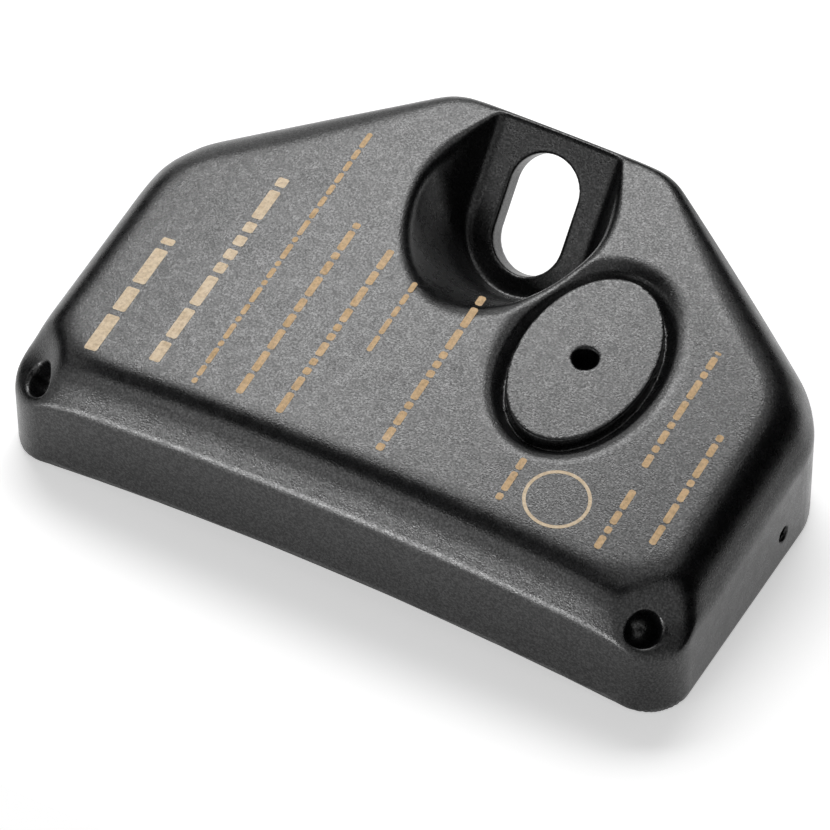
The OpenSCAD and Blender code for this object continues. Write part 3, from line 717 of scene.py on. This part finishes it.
# Plain print: rows of short bars, and a ring
PRINT_LIFT = 0.012
PRINT_CELL = 0.3
BAR_SHARE = 0.46
BAR_CORNER = 0.12
BAR_LENGTH, BAR_GAP, ROW_REST = 0.9, 0.4, 0.3
LARGE_PRINT = 1.5
CREAM, GOLD = 0, 1
# Place along the body, start and end across it, height and pitch of the letters that the row stands for
PRINT_ROWS = [(-20.9, 3.2, 14.3, 2.3, 1.25), (-16.1, 4.0, 22.4, 1.9, 1.05), (-12.5, 3.4, 28.6, 0.9, 0.55),
              (-9.1, 3.9, 20.8, 1.25, 0.7), (-5.7, 3.6, 19.9, 1.25, 0.7), (-2.7, 11.0, 17.8, 0.9, 0.55),
              (2.2, 3.8, 18.8, 1.25, 0.7), (11.5, 4.0, 7.9, 1.1, 0.65), (19.3, 3.8, 9.6, 1.1, 0.65),
              (19.0, 11.3, 22.4, 1.1, 0.65), (22.4, 6.0, 16.7, 1.1, 0.65)]
RING_X, RING_Y = 15.07, 5.99
RING_RADII = (2.15, 2.4)
RING_SIDES = 64


def on_top(x, y):
    """Point of the print, just clear of the top."""
    height = lookup((HEIGHT_MAP,), np.array([x]), np.array([y]))[0][0]
    return x, y, float(height) + PRINT_LIFT


def bar(x_mid, start, end, width):
    """Points and faces of a bar with cut corners, in cells that follow the curved top."""
    cut = min(BAR_CORNER, (end - start) / 3, width / 3)
    rows = 2 + int((end - start) / PRINT_CELL)
    levels = [start, *np.linspace(start + cut, end - cut, rows), end]
    across = 1 + math.ceil(width / PRINT_CELL)
    points, faces = [], []
    for y in levels:
        reach = width / 2 - (cut if y in (start, end) else 0)
        points += [on_top(x, y) for x in np.linspace(x_mid - reach, x_mid + reach, across)]
    for i in range(len(levels) - 1):
        for a in range(i * across, (i + 1) * across - 1):
            faces.append([a, a + 1, a + 1 + across, a + across])
    return points, faces


def row_of_bars(x, start, end, height, pitch, rng):
    """Bars that are each as long as one to three letters, as if they were words."""
    bars, y = [], start
    while y < end - ROW_REST * pitch:
        letters = rng.integers(1, 4)
        stop = min(y + pitch * letters * BAR_LENGTH, end)
        bars.append(bar(x, y, stop, height * BAR_SHARE))
        y = stop + BAR_GAP * pitch
    return bars


def print_ring():
    points, faces = [], []
    for i in range(RING_SIDES):
        angle = 2 * math.pi * i / RING_SIDES
        points += [on_top(RING_X + r * math.cos(angle), RING_Y + r * math.sin(angle)) for r in RING_RADII]
        a, b = 2 * i, 2 * ((i + 1) % RING_SIDES)
        faces.append([a, a + 1, b + 1, b])
    return points, faces


def print_mesh():
    rng = np.random.default_rng(7)
    points, faces, tones, patches = [], [], [], []
    for x, start, end, height, pitch in PRINT_ROWS:
        tone = GOLD if height < LARGE_PRINT else CREAM
        patches += [(patch, tone) for patch in row_of_bars(x, start, end, height, pitch, rng)]
    for (patch_points, patch_faces), tone in [*patches, (print_ring(), CREAM)]:
        faces += [[i + len(points) for i in face] for face in patch_faces]
        points += patch_points
        tones += [tone] * len(patch_faces)
    return points, faces, tones


print_points, print_faces, print_tones = print_mesh()
print_ob = mesh_object("plain_print", print_points, print_faces)
print_ob.data.materials.append(ink("cream_print", (0.60, 0.45, 0.28), (0.90, 0.73, 0.52)))
print_ob.data.materials.append(ink("gold_print", (0.44, 0.28, 0.13), (0.76, 0.52, 0.28)))
print_ob.data.polygons.foreach_set("material_index", print_tones)
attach(print_ob, "root")


# Camera: its angles, how far it stands, and where the frame's origin lies in the image
IMAGE = 830
AZIMUTH, ELEVATION, ROLL = math.radians(29.84), math.radians(46.86), math.radians(-0.546)
FOCAL_PIXELS = 5903.0
PIXELS_PER_MM = 14.23
ORIGIN_PIXEL = (326.07, 585.03)
SENSOR = 36


def to_scene(v):
    return Vector((v[0] * MM, (v[1] - WIDTH / 2) * MM, v[2] * MM))


def add_camera():
    back = Vector((math.sin(AZIMUTH) * math.cos(ELEVATION), -math.cos(AZIMUTH) * math.cos(ELEVATION),
                   math.sin(ELEVATION)))
    level = Vector((math.cos(AZIMUTH), math.sin(AZIMUTH), 0))
    upright = back.cross(level)
    right = level * math.cos(ROLL) + upright * math.sin(ROLL)
    up = -level * math.sin(ROLL) + upright * math.cos(ROLL)
    across = (ORIGIN_PIXEL[0] - IMAGE / 2) / PIXELS_PER_MM
    above = -(ORIGIN_PIXEL[1] - IMAGE / 2) / PIXELS_PER_MM
    place = -across * right - above * up + (FOCAL_PIXELS / PIXELS_PER_MM) * back
    camera = bpy.data.objects.new("camera", bpy.data.cameras.new("camera"))
    camera.data.sensor_width = SENSOR
    camera.data.lens = SENSOR * FOCAL_PIXELS / IMAGE
    camera.data.clip_start, camera.data.clip_end = 0.01, 10
    turn = Matrix((right, up, back)).transposed()
    camera.matrix_world = Matrix.Translation(to_scene(place)) @ turn.to_4x4()
    bpy.context.scene.collection.objects.link(camera)
    bpy.context.scene.camera = camera


add_camera()


# Floor, dark cards, world and lamps; from here on lengths are in metres
FLOOR_SIZE = (1.2, 0.8)
FLOOR_FRONT = -0.044
FLOOR_COLOUR, FLOOR_GLOW = 0.9, 0.5
CARD_COLOUR = 0.015
WORLD_LIGHT = 0.35
MIDDLE = (0, 0, 0.008)


def seen(tree):
    """1 for what camera, mirror and glass rays see, and 0 for the light that falls on things."""
    light_path = tree.nodes.new("ShaderNodeLightPath")
    last = light_path.outputs["Is Camera Ray"]
    for name in ("Is Glossy Ray", "Is Transmission Ray"):
        either = tree.nodes.new("ShaderNodeMath")
        either.operation = "MAXIMUM"
        tree.links.new(last, either.inputs[0])
        tree.links.new(light_path.outputs[name], either.inputs[1])
        last = either.outputs[0]
    return last


def card(name, size, colour, glow=0.0):
    """A matt plane of the studio, centred on the origin; glow is added where it is seen."""
    mesh = bpy.data.meshes.new(name)
    a, b = size[0] / 2, size[1] / 2
    mesh.from_pydata([(-a, -b, 0), (a, -b, 0), (a, b, 0), (-a, b, 0)], [], [(0, 1, 2, 3)])
    ob = bpy.data.objects.new(name, mesh)
    bpy.context.scene.collection.objects.link(ob)
    material = bpy.data.materials.new(name)
    material.use_nodes = True
    tree = material.node_tree
    shader = tree.nodes["Principled BSDF"]
    shader.inputs["Base Color"].default_value = (colour, colour, colour, 1)
    shader.inputs["Roughness"].default_value = 0.9
    shader.inputs["Specular IOR Level"].default_value = 0.0
    if glow:
        shader.inputs["Emission Color"].default_value = (1, 1, 1, 1)
        strength = tree.nodes.new("ShaderNodeMath")
        strength.operation = "MULTIPLY"
        strength.inputs[1].default_value = glow
        tree.links.new(seen(tree), strength.inputs[0])
        tree.links.new(strength.outputs[0], shader.inputs["Emission Strength"])
    mesh.materials.append(material)
    return ob


def point(ob, where, aim, forward):
    ob.location = where
    ob.rotation_mode = "QUATERNION"
    ob.rotation_quaternion = (Vector(aim) - Vector(where)).to_track_quat(forward, "Y")


def stand(name, where, size, aim=MIDDLE):
    """A dark card that faces the object and is mirrored in it; no camera sees it."""
    ob = card(name, size, CARD_COLOUR)
    ob.visible_camera = False
    point(ob, where, aim, "Z")
    return ob


def lamp(name, where, aim, size, power):
    light = bpy.data.lights.new(name, "AREA")
    light.shape = "RECTANGLE"
    light.size, light.size_y = size
    light.energy = power
    ob = bpy.data.objects.new(name, light)
    point(ob, where, aim, "-Z")
    bpy.context.scene.collection.objects.link(ob)


def add_world():
    """A white world, which lights the object with only a part of its strength."""
    world = bpy.data.worlds.new("studio")
    bpy.context.scene.world = world
    world.use_nodes = True
    tree = world.node_tree
    strength = tree.nodes.new("ShaderNodeMath")
    strength.operation = "MULTIPLY_ADD"
    strength.inputs[1].default_value = 1 - WORLD_LIGHT
    strength.inputs[2].default_value = WORLD_LIGHT
    background = tree.nodes["Background"]
    background.inputs["Color"].default_value = (1, 1, 1, 1)
    tree.links.new(seen(tree), strength.inputs[0])
    tree.links.new(strength.outputs[0], background.inputs["Strength"])


# the floor ends close in front of the object, so that the low strip lamp is mirrored in its front
floor = card("floor", FLOOR_SIZE, FLOOR_COLOUR, FLOOR_GLOW)
floor.location = (0, FLOOR_SIZE[1] / 2 + FLOOR_FRONT, -0.00002)

stand("right_card", (0.28, 0.12, 0.13), (0.52, 0.36))
stand("camera_card", (0.22, -0.38, 0.47), (0.46, 0.34))
flag = stand("right_flag", (0.046, 0.0135, 0.022), (0.068, 0.044), aim=(0, 0.0135, 0.022))
flag.visible_shadow = False
stand("left_card", (-0.27, 0.02, 0.08), (0.34, 0.16))
stand("top_card", (-0.14, -0.09, 0.40), (0.34, 0.30))
stand("front_card", (-0.13, -0.24, 0.27), (0.30, 0.13))
stand("back_card", (0.05, 0.33, 0.10), (0.40, 0.20))

add_world()
lamp("top_softbox", (-0.115, 0.195, 0.325), (0, 0, 0), (0.31, 0.15), 1.08)
lamp("front_strip", (-0.11, -0.31, -0.055), MIDDLE, (0.22, 0.07), 0.80)
lamp("front_panel", (-0.115, -0.275, 0.15), MIDDLE, (0.16, 0.10), 0.07)

bpy.context.scene.view_settings.view_transform = "Standard"
